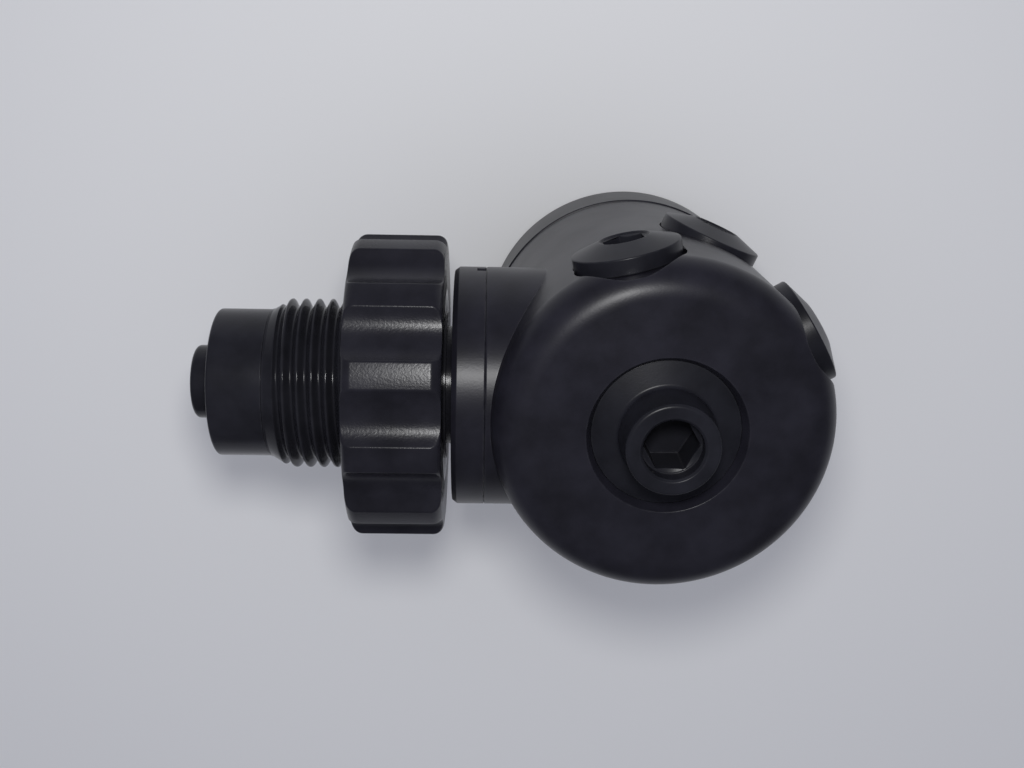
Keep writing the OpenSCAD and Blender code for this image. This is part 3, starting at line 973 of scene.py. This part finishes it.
def threading_rule() -> Rule:
    """Winds a rounded thread form into one unbroken skin with a tapered start."""
    numbers = [
        "Root", "Crest", "Pitch", "Form Height", "Rounding", "Back", "Front", "Lip", "Lead", "Start", "Turns"
    ]
    wiring, given, made = new_group(
        "threading",
        "GeometryNodeTree",
        [
            *((name, Socket.NUMBER) for name in numbers),
            ("Columns", Socket.WHOLE),
            ("Rows", Socket.WHOLE),
            ("Material", Socket.MATERIAL),
        ],
        [("Geometry", Socket.GEOMETRY)],
    )
    value = given.outputs
    grid = wiring.add(
        "GeometryNodeMeshGrid", {0: 1.0, 1: 1.0, 2: value["Columns"], 3: value["Rows"]}
    )
    place = wiring.add("GeometryNodeInputPosition").outputs[0]
    axes = wiring.add("ShaderNodeSeparateXYZ", {0: place}).outputs
    turn = wiring.math("MULTIPLY", wiring.math("ADD", axes[0], 0.5), value["Turns"])
    across = wiring.math("ADD", axes[1], 0.5)
    rise = wiring.math("MULTIPLY_ADD", wiring.math("ADD", turn, across), value["Pitch"], value["Start"])
    height = wiring.math("MINIMUM", wiring.math("MAXIMUM", rise, value["Back"]), value["Front"])
    # a sharp ridge whose top and foot are then rounded off
    fold = wiring.math("ABSOLUTE", wiring.math("MULTIPLY_ADD", across, 2.0, -1.0))
    middle = wiring.math("MULTIPLY", wiring.math("ADD", value["Root"], value["Crest"]), 0.5)
    ridge = wiring.math("MULTIPLY_ADD", wiring.math("SUBTRACT", 0.5, fold), value["Form Height"], middle)
    topped = wiring.math("SMOOTH_MIN", ridge, value["Crest"], value["Rounding"])
    footed = wiring.math("SMOOTH_MAX", topped, value["Root"], value["Rounding"])
    taper = wiring.math(
        "MULTIPLY_ADD", wiring.math("SUBTRACT", value["Front"], height), value["Lead"], value["Lip"]
    )
    radius = wiring.math("SMOOTH_MIN", footed, taper, 0.1)
    radius = wiring.math("MAXIMUM", radius, value["Lip"])
    angle = wiring.math("MULTIPLY", turn, FULL_TURN)
    moved = wiring.add(
        "ShaderNodeCombineXYZ",
        {0: wiring.math("MULTIPLY", wiring.math("COSINE", angle), radius),
         1: wiring.math("MULTIPLY", wiring.math("SINE", angle), radius), 2: height},
    )
    shape = wiring.add("GeometryNodeSetPosition", {"Geometry": grid.outputs[0], "Position": moved.outputs[0]})
    merged = wiring.add("GeometryNodeMergeByDistance", {"Geometry": shape.outputs[0], "Distance": 0.002})
    finish_tree(wiring, merged.outputs[0], given, made)
    return Rule(wiring.tree)


def winding_rule() -> Rule:
    """Winds round wire into a spring whose two ends are ground flat."""
    numbers = ["Radius", "Wire", "Turns", "Low", "High"]
    wiring, given, made = new_group(
        "winding",
        "GeometryNodeTree",
        [*((name, Socket.NUMBER) for name in numbers), ("Material", Socket.MATERIAL)],
        [("Geometry", Socket.GEOMETRY)],
    )
    value = given.outputs
    travel = wiring.math("SUBTRACT", value["High"], value["Low"])
    ground_off = wiring.math("MULTIPLY", value["Wire"], 0.6)
    path = wiring.add(
        "GeometryNodeCurveSpiral",
        {
            "Resolution": 64,
            "Rotations": value["Turns"],
            "Start Radius": value["Radius"],
            "End Radius": value["Radius"],
            "Height": wiring.math("SUBTRACT", travel, ground_off),
        },
    )
    wire = wiring.add(
        "GeometryNodeCurvePrimitiveCircle",
        {"Resolution": 20, "Radius": wiring.math("MULTIPLY", value["Wire"], 0.5)},
    )
    swept = wiring.add(
        "GeometryNodeCurveToMesh",
        {"Curve": path.outputs[0], "Profile Curve": wire.outputs[0], "Fill Caps": True},
    )
    lifted = wiring.add(
        "ShaderNodeCombineXYZ", {2: wiring.math("MULTIPLY_ADD", value["Wire"], 0.3, value["Low"])}
    )
    moved = wiring.add("GeometryNodeSetPosition", {"Geometry": swept.outputs[0], "Offset": lifted.outputs[0]})
    place = wiring.add("GeometryNodeInputPosition").outputs[0]
    axes = wiring.add("ShaderNodeSeparateXYZ", {0: place}).outputs
    flat = wiring.math("MINIMUM", wiring.math("MAXIMUM", axes[2], value["Low"]), value["High"])
    spot = wiring.add("ShaderNodeCombineXYZ", {0: axes[0], 1: axes[1], 2: flat})
    ground = wiring.add(
        "GeometryNodeSetPosition", {"Geometry": moved.outputs[0], "Position": spot.outputs[0]}
    )
    finish_tree(wiring, ground.outputs[0], given, made)
    return Rule(wiring.tree)


def porting_rule() -> Rule:
    """Sets one plug in every port, turned outwards by each point's own angle."""
    wiring, given, made = new_group(
        "porting",
        "GeometryNodeTree",
        [("Geometry", Socket.GEOMETRY), ("Plug", Socket.OBJECT), ("Material", Socket.MATERIAL)],
        [("Geometry", Socket.GEOMETRY)],
    )
    plug = wiring.add("GeometryNodeObjectInfo", {"Object": given.outputs["Plug"], "As Instance": True})
    azimuth = wiring.add("GeometryNodeInputNamedAttribute", {"Name": "azimuth"}, data_type="FLOAT")
    spin = wiring.add("GeometryNodeInputNamedAttribute", {"Name": "spin"}, data_type="FLOAT")
    twist = wiring.add("ShaderNodeCombineXYZ", {1: math.pi / 2, 2: azimuth.outputs[0]})
    outward = wiring.add("FunctionNodeEulerToRotation", {0: twist.outputs[0]})
    key_turn = wiring.add(
        "FunctionNodeAxisAngleToRotation", {"Axis": (0, 0, 1), "Angle": spin.outputs[0]}
    )
    own = wiring.add(
        "FunctionNodeRotateRotation",
        {0: outward.outputs[0], 1: key_turn.outputs[0]},
        rotation_space="LOCAL",
    )
    placed = wiring.add(
        "GeometryNodeInstanceOnPoints",
        {
            "Points": given.outputs["Geometry"],
            "Instance": plug.outputs["Geometry"],
            "Rotation": own.outputs[0],
        },
    )
    finish_tree(wiring, placed.outputs[0], given, made)
    return Rule(wiring.tree)


# ---- barrel ---------------------------------------------------------------------------------


@dataclass(frozen=True)
class Port:
    """A threaded hose port in the barrel.

    Attributes:
        angle: direction round the barrel in degrees.
        height: height of its axis.
        seat: distance of its flat seat from the barrel axis.
        seat_radius: radius of the flat seat.
        run_out: how far the flat seat is drawn out towards the front.
        shank_radius: radius of the plug's shank.
        depth_from: distance of its bottom from the barrel axis.
        key_turn: how far its plug happens to be turned, in degrees.
    """

    angle: float
    height: float
    seat: float
    seat_radius: float
    run_out: float
    shank_radius: float
    depth_from: float
    key_turn: float = 0.0


LOW_PRESSURE = tuple(
    Port(angle, height, 19.7, 6.97, 2.43, 4.72, 10.5, turn)
    for angle, height, turn in (
        (103.3, 46.7, 8.0), (30.5, 46.7, 21.0), (-30.5, 44.7, 47.0), (-103.3, 44.7, 33.0),
    )
)
HIGH_PRESSURE = tuple(
    Port(angle, 31.7, 20.0, 7.05, 0.3, 5.5, 14.2, turn) for angle, turn in ((67.3, 14.0), (-67.3, 40.0))
)


@dataclass
class Barrel:
    """The pressure body with its neck, ports and dished front, and the ring behind it."""

    shop: Workshop
    radius: float = 21.5
    height: float = 57.0
    front_edge: float = 4.5
    cap_height: float = 10.0
    cap_proud: float = 0.2
    seam: float = 0.22
    connector_z: float = 37.1
    neck_radius: float = 16.1
    neck_face: float = 22.2
    dish_radius: float = 9.9
    bores: tuple[tuple[float, float], ...] = (
        (17.5, 24.0), (12.9, 28.0), (5.02, 32.0), (7.0, 46.0), (8.05, 53.0), (9.25, 55.6)
    )
    inlet_bore: float = 6.05
    inlet_floor: float = 12.6
    air_way: float = 2.5
    passage: float = 1.4
    edge_break: float = 0.07
    cap_edge: float = 0.25
    cap_bore: float = 12.05
    cap_spigot: tuple[float, float] = (17.45, 21.9)
    rows: int = 256

    def body(self) -> Solid:
        """The barrel and its neck, with every chamber and bore."""
        barrel = Solid.turned(
            [(0, self.cap_height), (self.radius, self.cap_height, self.seam),
             (self.radius, self.height, self.front_edge), (0, self.height)],
            steps=24, angles=even_angles(self.rows),
        )
        neck = Solid.turned(
            [(0, 8), (self.neck_radius, 8),
             (self.neck_radius, self.neck_face, self.seam), (0, self.neck_face)],
            angles=even_angles(self.rows),
        ).placed(along_connector(self.connector_z))
        return barrel.joined(neck).cut(*self._chambers(), *self._inlet(), *self._ports())

    def _chambers(self) -> list[Solid]:
        """The stepped bore from the rear, and the bore for the front plug with the dish round it."""
        outline: list[Corner] = [(0, self.cap_height - 1)]
        low = self.cap_height - 1
        for radius, high in self.bores:
            outline += [(radius, low), (radius, high)]
            low = high
        above = self.height + 1
        outline += [(self.dish_radius, self.height), (self.dish_radius, above), (0, above)]
        return [Solid.turned(outline)]

    def _inlet(self) -> list[Solid]:
        """The bore that takes the connector, and the air way behind it."""
        place = along_connector(self.connector_z)
        return [
            Solid.rod(self.inlet_bore, self.inlet_floor, self.neck_face + 1).placed(place),
            Solid.rod(self.air_way, 6.0, self.inlet_floor + 0.4).placed(place),
        ]

    def _ports(self) -> list[Solid]:
        """Seat, sealing groove, thread bore and passage of every port."""
        cutters = []
        for port in LOW_PRESSURE + HIGH_PRESSURE:
            place = at_port(port.angle, port.height)
            ahead = at_port(port.angle, port.height + port.run_out)
            cutters += [
                Solid.rod(port.seat_radius, port.seat, 26.0, sides=160).placed(place),
                Solid.rod(port.seat_radius, port.seat, 26.0, sides=160).placed(ahead),
                Solid.rod(port.shank_radius + 1.5, port.seat - 1.5, port.seat + 1).placed(place),
                Solid.rod(port.shank_radius + 0.05, port.depth_from, port.seat).placed(place),
            ]
        for port in LOW_PRESSURE:
            spot = Matrix.Rotation(math.radians(port.angle), 4, "Z") @ Matrix.Translation((11.4, 0, 0))
            cutters.append(Solid.rod(self.passage, 27.0, port.height - 2, sides=32).placed(spot))
        for port in HIGH_PRESSURE:
            spot = at_port(port.angle, port.height + 3)
            cutters.append(Solid.rod(self.passage, 6.0, 15.2, sides=32).placed(spot))
        return cutters

    def rear_cap(self) -> Solid:
        """The ring that closes the rear and holds the adjusting screw."""
        outer = self.radius + self.cap_proud
        bore, top = self.cap_bore, self.cap_height
        spigot, end = self.cap_spigot
        return Solid.turned(
            [(bore, 1.0, 0.2), (bore + 1, 0.0, 0.15), (outer, 0.0, 0.7), (outer, top - self.cap_edge),
             (outer - self.cap_edge, top), (spigot, top), (spigot, end, 0.4), (bore, end, 0.3)],
            closed=True, angles=even_angles(self.rows),
        )

    def build(self) -> None:
        """Makes the barrel's pieces."""
        drums = [
            Drum(Matrix.Identity(4), self.radius, self.height, self.front_edge, self.cap_height + 0.3),
            Drum(along_connector(self.connector_z), self.neck_radius, self.neck_face, 0.0, 8.0),
        ]
        body = self.body().edge_broken(self.edge_break)
        self.shop.piece("barrel_body", body.shaded(drums), BARREL_BLACK, "body", ["body"])
        self.shop.piece("rear_ring", self.rear_cap().shaded(), BARREL_BLACK, "body", ["rear_cap"])


def drill_point(key: float, floor: float) -> Solid:
    """The cone that a drill leaves under a hexagonal socket.

    Args:
        key: width of the socket across its flats.
        floor: height of the socket's floor.

    Returns:
        The cone as a cutter.
    """
    rim = floor + 0.01
    return Solid.turned([(0, floor - 0.9), (key / 2 - 0.1, rim), (0, rim)])


@dataclass
class FrontPlug:
    """The balance plug in the dished front: cone, raised boss and key socket."""

    shop: Workshop
    flange_radius: float = 9.23
    flange_z: float = 53.0
    floor_z: float = 55.58
    boss_foot: tuple[float, float] = (6.0, 56.3)
    boss_radius: float = 5.7
    boss_top: float = 61.9
    hole_radius: float = 3.7
    hole_depth: float = 2.0
    shank_radius: float = 8.0
    shank_low: float = 46.0
    neck_radius: float = 6.7
    neck_low: float = 51.0
    key: float = 6.0
    key_floor: float = 54.5

    def build(self) -> None:
        """Makes the plug."""
        foot_r, foot_z = self.boss_foot
        solid = Solid.turned(
            [(0, self.shank_low), (self.shank_radius, self.shank_low, 0.5),
             (self.shank_radius, self.neck_low, 0.2), (self.neck_radius, self.neck_low, 0.2),
             (self.neck_radius, self.flange_z),
             (self.flange_radius, self.flange_z, 0.1), (self.flange_radius, self.floor_z),
             (foot_r, foot_z, 0.6), (self.boss_radius, self.boss_top, 0.5), (0, self.boss_top)],
            steps=6,
        )
        hole_floor = self.boss_top - self.hole_depth
        bore = Solid.rod(2.05, 45.0, 51.8)
        groove = Solid.turned([(1.9, 47.5), (3.4, 47.5), (3.4, 48.9), (1.9, 48.9)], closed=True)
        mouth = Solid.turned(
            [(0, hole_floor), (self.hole_radius, hole_floor, 0.1), (self.hole_radius, self.boss_top - 0.3),
             (self.hole_radius + 0.35, self.boss_top + 0.05), (self.hole_radius + 0.35, self.boss_top + 1),
             (0, self.boss_top + 1)]
        )
        corner = self.key / 2 / math.cos(math.pi / 6)
        lead_top = hole_floor + 0.02
        lead = Solid.turned([(0, hole_floor - corner * 0.5), (corner * 1.02, lead_top), (0, lead_top)])
        socket = Solid.hexagon(self.key, self.key_floor, hole_floor + 1)
        solid.cut(bore, groove, mouth, socket, lead, drill_point(self.key, self.key_floor))
        made = solid.edge_broken(0.07).marked().shaded()
        self.shop.piece("front_plug", made, PLUG_BLACK, "body", ["balance_plug"])


@dataclass
class PortPlugs:
    """The six closed port plugs."""

    shop: Workshop
    rule: Rule
    head_radius: float = 6.9
    side: float = 2.1
    cone: float = 1.2
    mouth: tuple[float, float] = (3.2, 2.85)
    mouth_depth: float = 0.3
    key: float = 5.0
    key_depth: float = 3.6

    def plug(self, port: Port) -> Solid:
        """One plug, along +Z with its seat at 0.

        Args:
            port: a port that it fits.

        Returns:
            The plug as a solid.
        """
        low = port.depth_from + 1.2 - port.seat
        top = self.side + self.cone
        sunk = top - self.mouth_depth
        neck = port.shank_radius
        solid = Solid.turned(
            [(0, low), (neck, low, 0.5), (neck, 0),
             (self.head_radius, 0, 0.22), (self.head_radius, self.side, 0.22),
             (self.mouth[0], top, 0.12), (self.mouth[1], sunk, 0.1), (0, sunk)],
            steps=5,
        )
        lead = Solid.turned([(0, top - 1.9), (self.key / 2 * 1.2, top - 0.2), (0, top - 0.2)])
        floor = top - self.key_depth
        solid.cut(Solid.hexagon(self.key, floor, top + 1), lead, drill_point(self.key, floor))
        return solid.edge_broken(0.05).marked().shaded()

    def build(self) -> None:
        """Makes the plugs, one piece for each port."""
        for lot, ports in (("low", LOW_PRESSURE), ("high", HIGH_PRESSURE)):
            for number, port in enumerate(ports, 1):
                self._fit(f"{lot}_pressure_plug_{number}", port, f"{lot}_port_plug_{number}")

    def _fit(self, name: str, port: Port, node: str) -> None:
        """Sets one plug in its port and makes it a piece.

        Args:
            name: the piece's name.
            port: the port that it closes.
            node: the node that it replaces.
        """
        seat = bpy.data.meshes.new("seat")
        seat.from_pydata([at_port(port.angle, port.height) @ Vector((0, 0, port.seat))], [], [])
        for key, degrees in (("azimuth", port.angle), ("spin", port.key_turn)):
            seat.attributes.new(key, "FLOAT", "POINT").data[0].value = math.radians(degrees)
        pattern = bpy.data.objects.new("plug_pattern", self.plug(port).mesh)
        solid = self.rule.run(seat, plug=pattern, material=PLUG_BLACK.material())
        bpy.data.objects.remove(pattern)
        self.shop.piece(name, solid, PLUG_BLACK, "body", [node])


# ---- connector ------------------------------------------------------------------------------


@dataclass
class Connector:
    """The stem with its nose and tip, the threaded sleeve, the handwheel and the neck's collar."""

    shop: Workshop
    fluting: Rule
    threading: Rule
    axis_z: float = 37.1
    neck_radius: float = 16.1
    neck_face: float = 22.22
    collar_face: float = 26.4
    collar_edge: tuple[float, float] = (0.5, 0.65)
    spigot_radius: float = 6.0
    spigot_end: float = 13.2
    ring_groove: tuple[float, float, float] = (4.8, 14.4, 16.2)
    air_way: float = 2.5
    shank_radius: float = 8.0
    nose_radius: float = 9.95
    nose_back: float = 50.9
    nose_front: float = 58.0
    tip_radius: float = 4.95
    tip_length: float = 3.2
    filter_bore: float = 3.42
    filter_depth: float = 4.4
    sleeve_front: float = 50.85
    thread_radius: float = 11.4555
    thread_depth: float = 1.162
    pitch: float = 1.814
    first_crest: float = 0.66
    hub_radius: float = 13.0
    hub_front: float = 37.5
    foot_radius: float = 10.0
    foot_back: float = 27.25
    wheel_radius: float = 20.3
    wheel_back: float = 27.5
    wheel_width: float = 12.2
    wheel_edge: float = 1.4
    flutes: int = 12
    flute_radius: float = 5.4
    flute_depth: float = 1.6
    first_land: float = 20.0
    stations: tuple[float, ...] = (-0.9, -0.6, -0.35, -0.15, 0, 0.15, 0.35, 0.6, 0.9)

    def stem(self) -> Solid:
        """Spigot, shank, nose and tip as one turned piece with its air way."""
        tip = self.nose_front + self.tip_length
        groove = self.tip_radius + 2.6
        shoulder = self.collar_face + 0.02
        filter_seat = tip - self.filter_depth
        spigot = self.spigot_radius
        depth, low, high = self.ring_groove
        return Solid.turned(
            [(self.air_way, self.spigot_end), (spigot, self.spigot_end, 0.3),
             (spigot, low, 0.1), (depth, low), (depth, high), (spigot, high, 0.1),
             (spigot, shoulder), (self.shank_radius, shoulder, 0.15),
             (self.shank_radius, self.nose_back), (self.nose_radius, self.nose_back, 0.05),
             (self.nose_radius, self.nose_front, 0.4), (groove, self.nose_front, 0.12),
             (groove, self.nose_front - 1.9, 0.1), (self.tip_radius, self.nose_front - 1.9, 0.1),
             (self.tip_radius, tip, 0.6), (self.filter_bore, tip, 0.15),
             (self.filter_bore, filter_seat), (self.air_way, filter_seat)],
            closed=True, steps=5,
        )

    def sleeve(self) -> Solid:
        """The threaded sleeve with its hub inside the handwheel."""
        root = self.thread_radius - self.thread_depth
        lip = 10.05
        front = self.sleeve_front - 0.25
        sections = 120
        thread_back = self.hub_front
        turns = math.ceil((front - thread_back) / self.pitch) + 2
        start = self.first_crest - self.pitch / 2
        start += self.pitch * (math.floor((thread_back - start) / self.pitch) - 1)
        skin = self.threading.run(
            root=root, crest=self.thread_radius, pitch=self.pitch, form_height=0.9605 * self.pitch,
            rounding=0.3, back=thread_back, front=front, lip=lip, lead=0.62, start=start, turns=float(turns),
            columns=turns * sections + 1, rows=19, material=THREAD_BLACK.material(),
        )
        core = Solid.turned(
            [(self.shank_radius + 0.05, self.foot_back, 0.1), (self.foot_radius, self.foot_back, 0.1),
             (self.foot_radius, self.wheel_back), (self.hub_radius, self.wheel_back, 0.06),
             (self.hub_radius, self.hub_front), (root, self.hub_front), (lip, front),
             (lip, self.sleeve_front, 0.05), (self.shank_radius + 0.05, self.sleeve_front, 0.3)],
            closed=True, angles=even_angles(sections),
        )
        return self._skinned(core, skin, front)

    def _skinned(self, core: Solid, skin: Solid, front: float) -> Solid:
        """Swaps the core's plain wall between hub and lip for the threaded skin.

        Args:
            core: the sleeve without its thread.
            skin: the thread's open skin.
            front: height at which the skin meets the lip.

        Returns:
            One closed solid.
        """
        shape = bmesh.new()
        shape.from_mesh(core.mesh)
        wall = []
        for face in shape.faces:
            heights = [vert.co.z for vert in face.verts]
            if abs(max(heights) - front) < 1e-3 and min(heights) < front - 1:
                wall.append(face)
        bmesh.ops.delete(shape, geom=wall, context="FACES")
        shape.from_mesh(skin.mesh)
        bmesh.ops.remove_doubles(shape, verts=shape.verts, dist=0.004)
        bmesh.ops.recalc_face_normals(shape, faces=shape.faces)
        shape.to_mesh(core.mesh)
        open_edges = sum(1 for edge in shape.edges if not edge.is_manifold)
        shape.free()
        LOG.info("sleeve: %d edges left open", open_edges)
        bpy.data.meshes.remove(skin.mesh)
        return core

    def _flute_centre(self) -> float:
        """Distance of the flutes' centres from the wheel's axis."""
        return self.wheel_radius - self.flute_depth + self.flute_radius

    def _rim_angles(self) -> list[float]:
        """Rows round the wheel's rim, closer together at the flutes' edges."""
        pitch = FULL_TURN / self.flutes
        centre = self._flute_centre()
        reach = (self.wheel_radius**2 + centre**2 - self.flute_radius**2) / (2 * self.wheel_radius * centre)
        edge = pitch / 2 - math.acos(reach)
        near = [edge + math.radians(s) for s in self.stations]
        land = [near[0] * k / 5 for k in range(-4, 5)]
        flute = [near[-1] + (pitch - 2 * near[-1]) * k / 18 for k in range(1, 18)]
        period = [-a for a in reversed(near)] + land + near + flute
        first = math.radians(self.first_land)
        return [first + pitch * k + a for k in range(self.flutes) for a in period]

    def handwheel(self) -> Solid:
        """The fluted wheel round the sleeve's hub."""
        back, front = self.wheel_back, self.wheel_back + self.wheel_width
        mouth = self.thread_radius + 0.15
        pocket = self.hub_radius + 0.02
        rim = Solid.turned(
            [(pocket, back, 0.06), (self.wheel_radius, back, self.wheel_edge),
             (self.wheel_radius, front, self.wheel_edge), (mouth, front, 0.35),
             (mouth, self.hub_front + 0.02), (pocket, self.hub_front + 0.02)],
            closed=True, steps=12, angles=self._rim_angles(),
        )
        return self.fluting.run(
            rim.mesh, flutes=float(self.flutes), flute_centre=self._flute_centre(),
            flute_radius=self.flute_radius, first_land=math.radians(self.first_land), crease=0.35,
            material=WHEEL_BLACK.material(),
        )

    def collar(self) -> Solid:
        """The ring at the end of the neck, with two key notches at its seam."""
        inward, back = self.collar_edge
        ring = Solid.turned(
            [(6.05, self.neck_face), (self.neck_radius, self.neck_face, 0.12),
             (self.neck_radius, self.collar_face - back), (self.neck_radius - inward, self.collar_face),
             (6.05, self.collar_face)],
            closed=True, angles=even_angles(256),
        )
        notches = [
            Solid.block((-0.8, side * self.neck_radius - 0.7, self.neck_face - 1),
                        (0.8, side * self.neck_radius + 0.7, self.neck_face + 1.2))
            for side in (-1, 1)
        ]
        return ring.cut(*notches).edge_broken(0.08)

    def build(self) -> None:
        """Makes the connector's pieces."""
        place = along_connector(self.axis_z)
        make = self.shop.piece
        make("stem", self.stem().marked().placed(place).shaded(), CONNECTOR_BLACK, "body", ["din_stem"])
        make("neck_ring", self.collar().placed(place).shaded(), BARREL_BLACK, "body", ["neck_collar"])
        # the thread crests are paled: partly real wear, partly a painted highlight
        sleeve = self.sleeve().marked(self.thread_radius).placed(place).shaded()
        make("threaded_sleeve", sleeve, THREAD_BLACK, "connector", ["din_sleeve"])
        make("fluted_wheel", self.handwheel().placed(place).shaded(), WHEEL_BLACK, "connector", ["handwheel"])


# ---- springs and adjusting screw ------------------------------------------------------------


@dataclass
class SpringSide:
    """Wound springs and the adjusting screw behind them."""

    shop: Workshop
    winding: Rule
    screw_radius: float = 12.0
    screw_low: float = 2.0
    screw_high: float = 7.0
    key: float = 10.0

    def build(self) -> None:
        """Makes the screw and both springs."""
        screw = Solid.turned(
            [(0, self.screw_low), (self.screw_radius, self.screw_low, 0.5),
             (self.screw_radius, self.screw_high, 0.5), (0, self.screw_high)],
        )
        corner = self.key / 2 / math.cos(math.pi / 6)
        under, inside = self.screw_low - 1, self.screw_low + 0.7
        lead = Solid.turned([(0, under), (corner + 1.1, under), (corner - 0.6, inside), (0, inside)])
        screw.cut(Solid.hexagon(self.key, under, self.screw_high + 1), lead)
        self.shop.piece(
            "adjusting_key_screw", screw.edge_broken(0.08).marked().shaded(), CONNECTOR_BLACK,
            "adjusting_screw", ["adjusting_screw"],
        )
        steel = SPRING_STEEL.material()
        main = self.winding.run(radius=9.2, wire=2.4, turns=3.6, low=7.8, high=20.0, material=steel)
        self.shop.piece(
            "heavy_spring", main.shaded(), SPRING_STEEL, "screw_carrier", ["main_spring"],
            Stretch("body", 9.0, 19.0),
        )
        small = self.winding.run(radius=3.4, wire=0.9, turns=5.2, low=38.5, high=46.0, material=steel)
        self.shop.piece(
            "light_spring", small.shaded(), SPRING_STEEL, "poppet", ["poppet_spring"],
            Stretch("body", 39.0, 45.6),
        )


# ---- studio ---------------------------------------------------------------------------------


@dataclass
class Studio:
    """Pale floor, soft light near the camera and the camera itself. Lengths are in metres."""

    eye: tuple[float, float, float] = (-0.02227, 0.04735, 0.18801)
    right: tuple[float, float, float] = (0.99962, 0.02024, 0.01861)
    up: tuple[float, float, float] = (-0.01377, 0.95432, -0.29845)
    lens: float = 40.64
    sensor: float = 36.0
    floor_half: float = 1.5
    floor_colour: Colour = (0.74, 0.74, 0.73)
    sky: Colour = (0.86, 0.88, 1.0)
    sky_strength: float = 0.56
    sky_mirrored: float = 0.07
    key_size: float = 0.028
    key_power: float = 0.14
    key_rise: float = 0.022

    def camera(self) -> None:
        """Makes the camera and the key light above it."""
        right = Vector(self.right).normalized()
        back = right.cross(Vector(self.up)).normalized()
        up = back.cross(right)
        turn = Matrix((right, up, back)).transposed().to_4x4()
        lens = bpy.data.cameras.new("camera")
        lens.lens = self.lens
        lens.sensor_width = self.sensor
        lens.clip_start = 0.005
        lens.clip_end = 20
        camera = bpy.data.objects.new("camera", lens)
        camera.matrix_world = Matrix.Translation(self.eye) @ turn
        light = bpy.data.lights.new("key", "AREA")
        light.shape = "DISK"
        light.size = self.key_size
        light.energy = self.key_power
        key = bpy.data.objects.new("key", light)
        key.matrix_world = Matrix.Translation(Vector(self.eye) + up * self.key_rise) @ turn
        for thing in (camera, key):
            bpy.context.scene.collection.objects.link(thing)
        bpy.context.scene.camera = camera

    def floor(self) -> None:
        """Makes the plain floor under the rear face."""
        mesh = bpy.data.meshes.new("floor")
        half = self.floor_half
        level = -0.00004
        corners = [(-half, -half, level), (half, -half, level), (half, half, level), (-half, half, level)]
        mesh.from_pydata(corners, [], [(0, 1, 2, 3)])
        material = bpy.data.materials.new("studio_floor")
        material.use_nodes = True
        shader = material.node_tree.nodes["Principled BSDF"]
        shader.inputs["Base Color"].default_value = (*self.floor_colour, 1.0)
        shader.inputs["Roughness"].default_value = 0.9
        shader.inputs["Specular IOR Level"].default_value = 0.1
        mesh.materials.append(material)
        floor = bpy.data.objects.new("floor", mesh)
        bpy.context.scene.collection.objects.link(floor)

    def sky_light(self) -> None:
        """Makes the even light from all round."""
        world = bpy.data.worlds.new("studio")
        world.use_nodes = True
        backdrop = world.node_tree.nodes["Background"]
        backdrop.inputs["Color"].default_value = (*self.sky, 1.0)
        wiring = Wiring(world.node_tree)
        mirrored = wiring.add("ShaderNodeLightPath").outputs["Is Glossy Ray"]
        strength = wiring.spread(mirrored, self.sky_strength, self.sky_mirrored)
        world.node_tree.links.new(strength, backdrop.inputs["Strength"])
        bpy.context.scene.world = world

    def build(self) -> None:
        """Sets up the studio."""
        self.camera()
        self.floor()
        self.sky_light()
        bpy.context.scene.view_settings.view_transform = "Standard"


def main() -> None:
    """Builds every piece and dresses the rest."""
    logging.basicConfig(level=logging.INFO, format="%(name)s %(message)s")
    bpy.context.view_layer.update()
    shop = Workshop(frame["nodes"], frame["record"])
    Studio().build()
    Barrel(shop).build()
    FrontPlug(shop).build()
    PortPlugs(shop, porting_rule()).build()
    Connector(shop, fluting_rule(), threading_rule()).build()
    SpringSide(shop, winding_rule()).build()
    shop.dress()
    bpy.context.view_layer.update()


if __name__ == "__main__":
    main()
